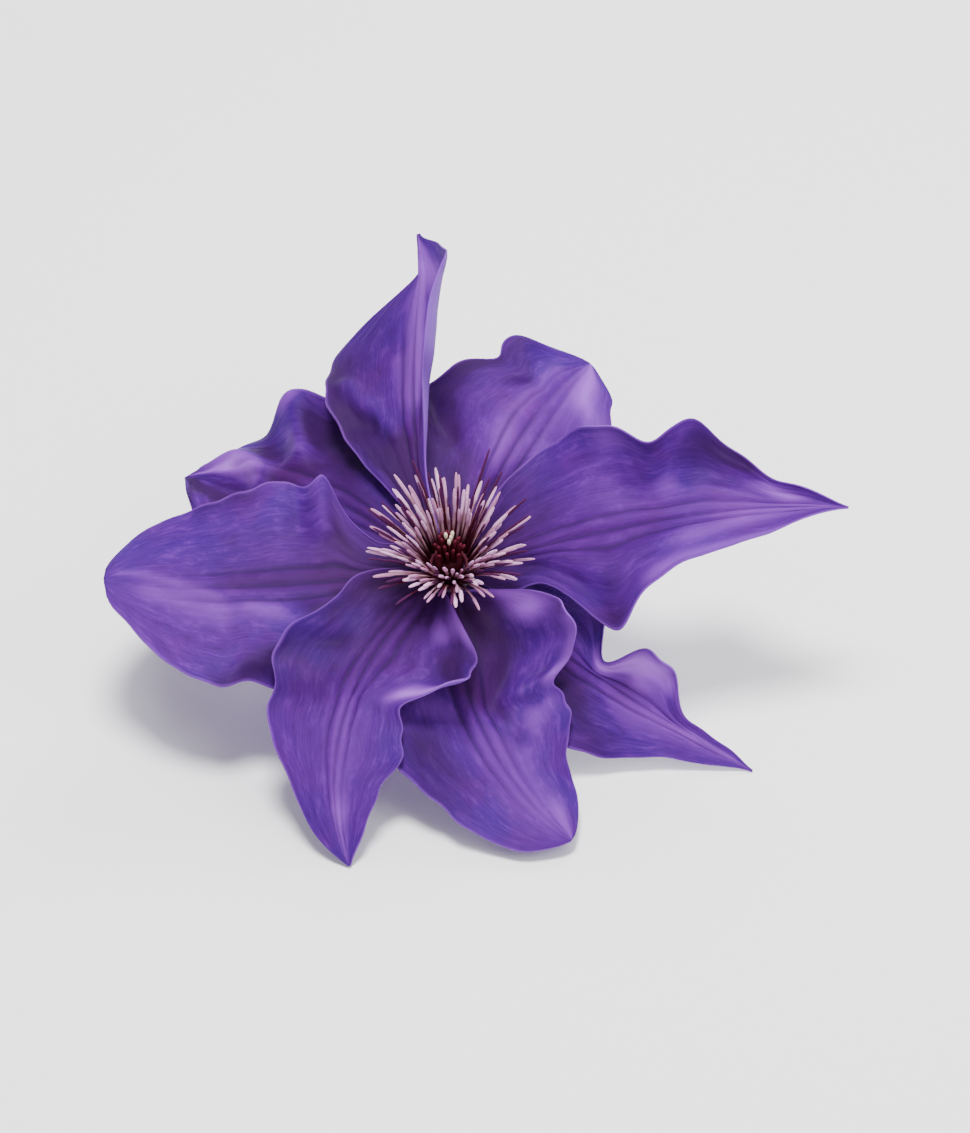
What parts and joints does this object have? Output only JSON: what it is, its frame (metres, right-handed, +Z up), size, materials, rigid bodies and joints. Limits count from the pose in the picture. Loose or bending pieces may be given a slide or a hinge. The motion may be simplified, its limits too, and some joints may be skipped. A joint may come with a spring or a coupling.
{
  "type": "clematis flower",
  "caption": "Cut clematis flower with broad pointed violet tepals round a boss of pale stamens, lying face up on its lower tepal tips and its curved stalk.",
  "frame": {"origin": "bottom centre of the whole flower's box, on the surface it lies on", "axes": "+Z up; +Y along the stalk, away from the bloom; the bloom's face looks up and leans towards -Y"},
  "size_m": [0.1624, 0.178, 0.0729],
  "materials": {
    "tepal": "thin violet petal tissue with a soft velvety sheen, fine lengthwise veins, darker grooves and a paler underside",
    "stamen": "pale pink-lilac filaments with dusky purple anthers",
    "pistil": "downy maroon styles with cream tips",
    "stalk": "ribbed green stalk flushed purple-brown, satin"
  },
  "bodies": {
    "root": {"tepal_lower_right": "tepal", "tepal_upper_right": "tepal", "tepal_upper_left": "tepal", "tepal_bottom": "tepal", "tepal_bottom_left": "tepal", "tepal_right": "tepal", "tepal_top": "tepal", "tepal_left": "tepal", "stamens": "stamen", "pistils": "pistil", "peduncle": "stalk"}
  },
  "joints": []
}
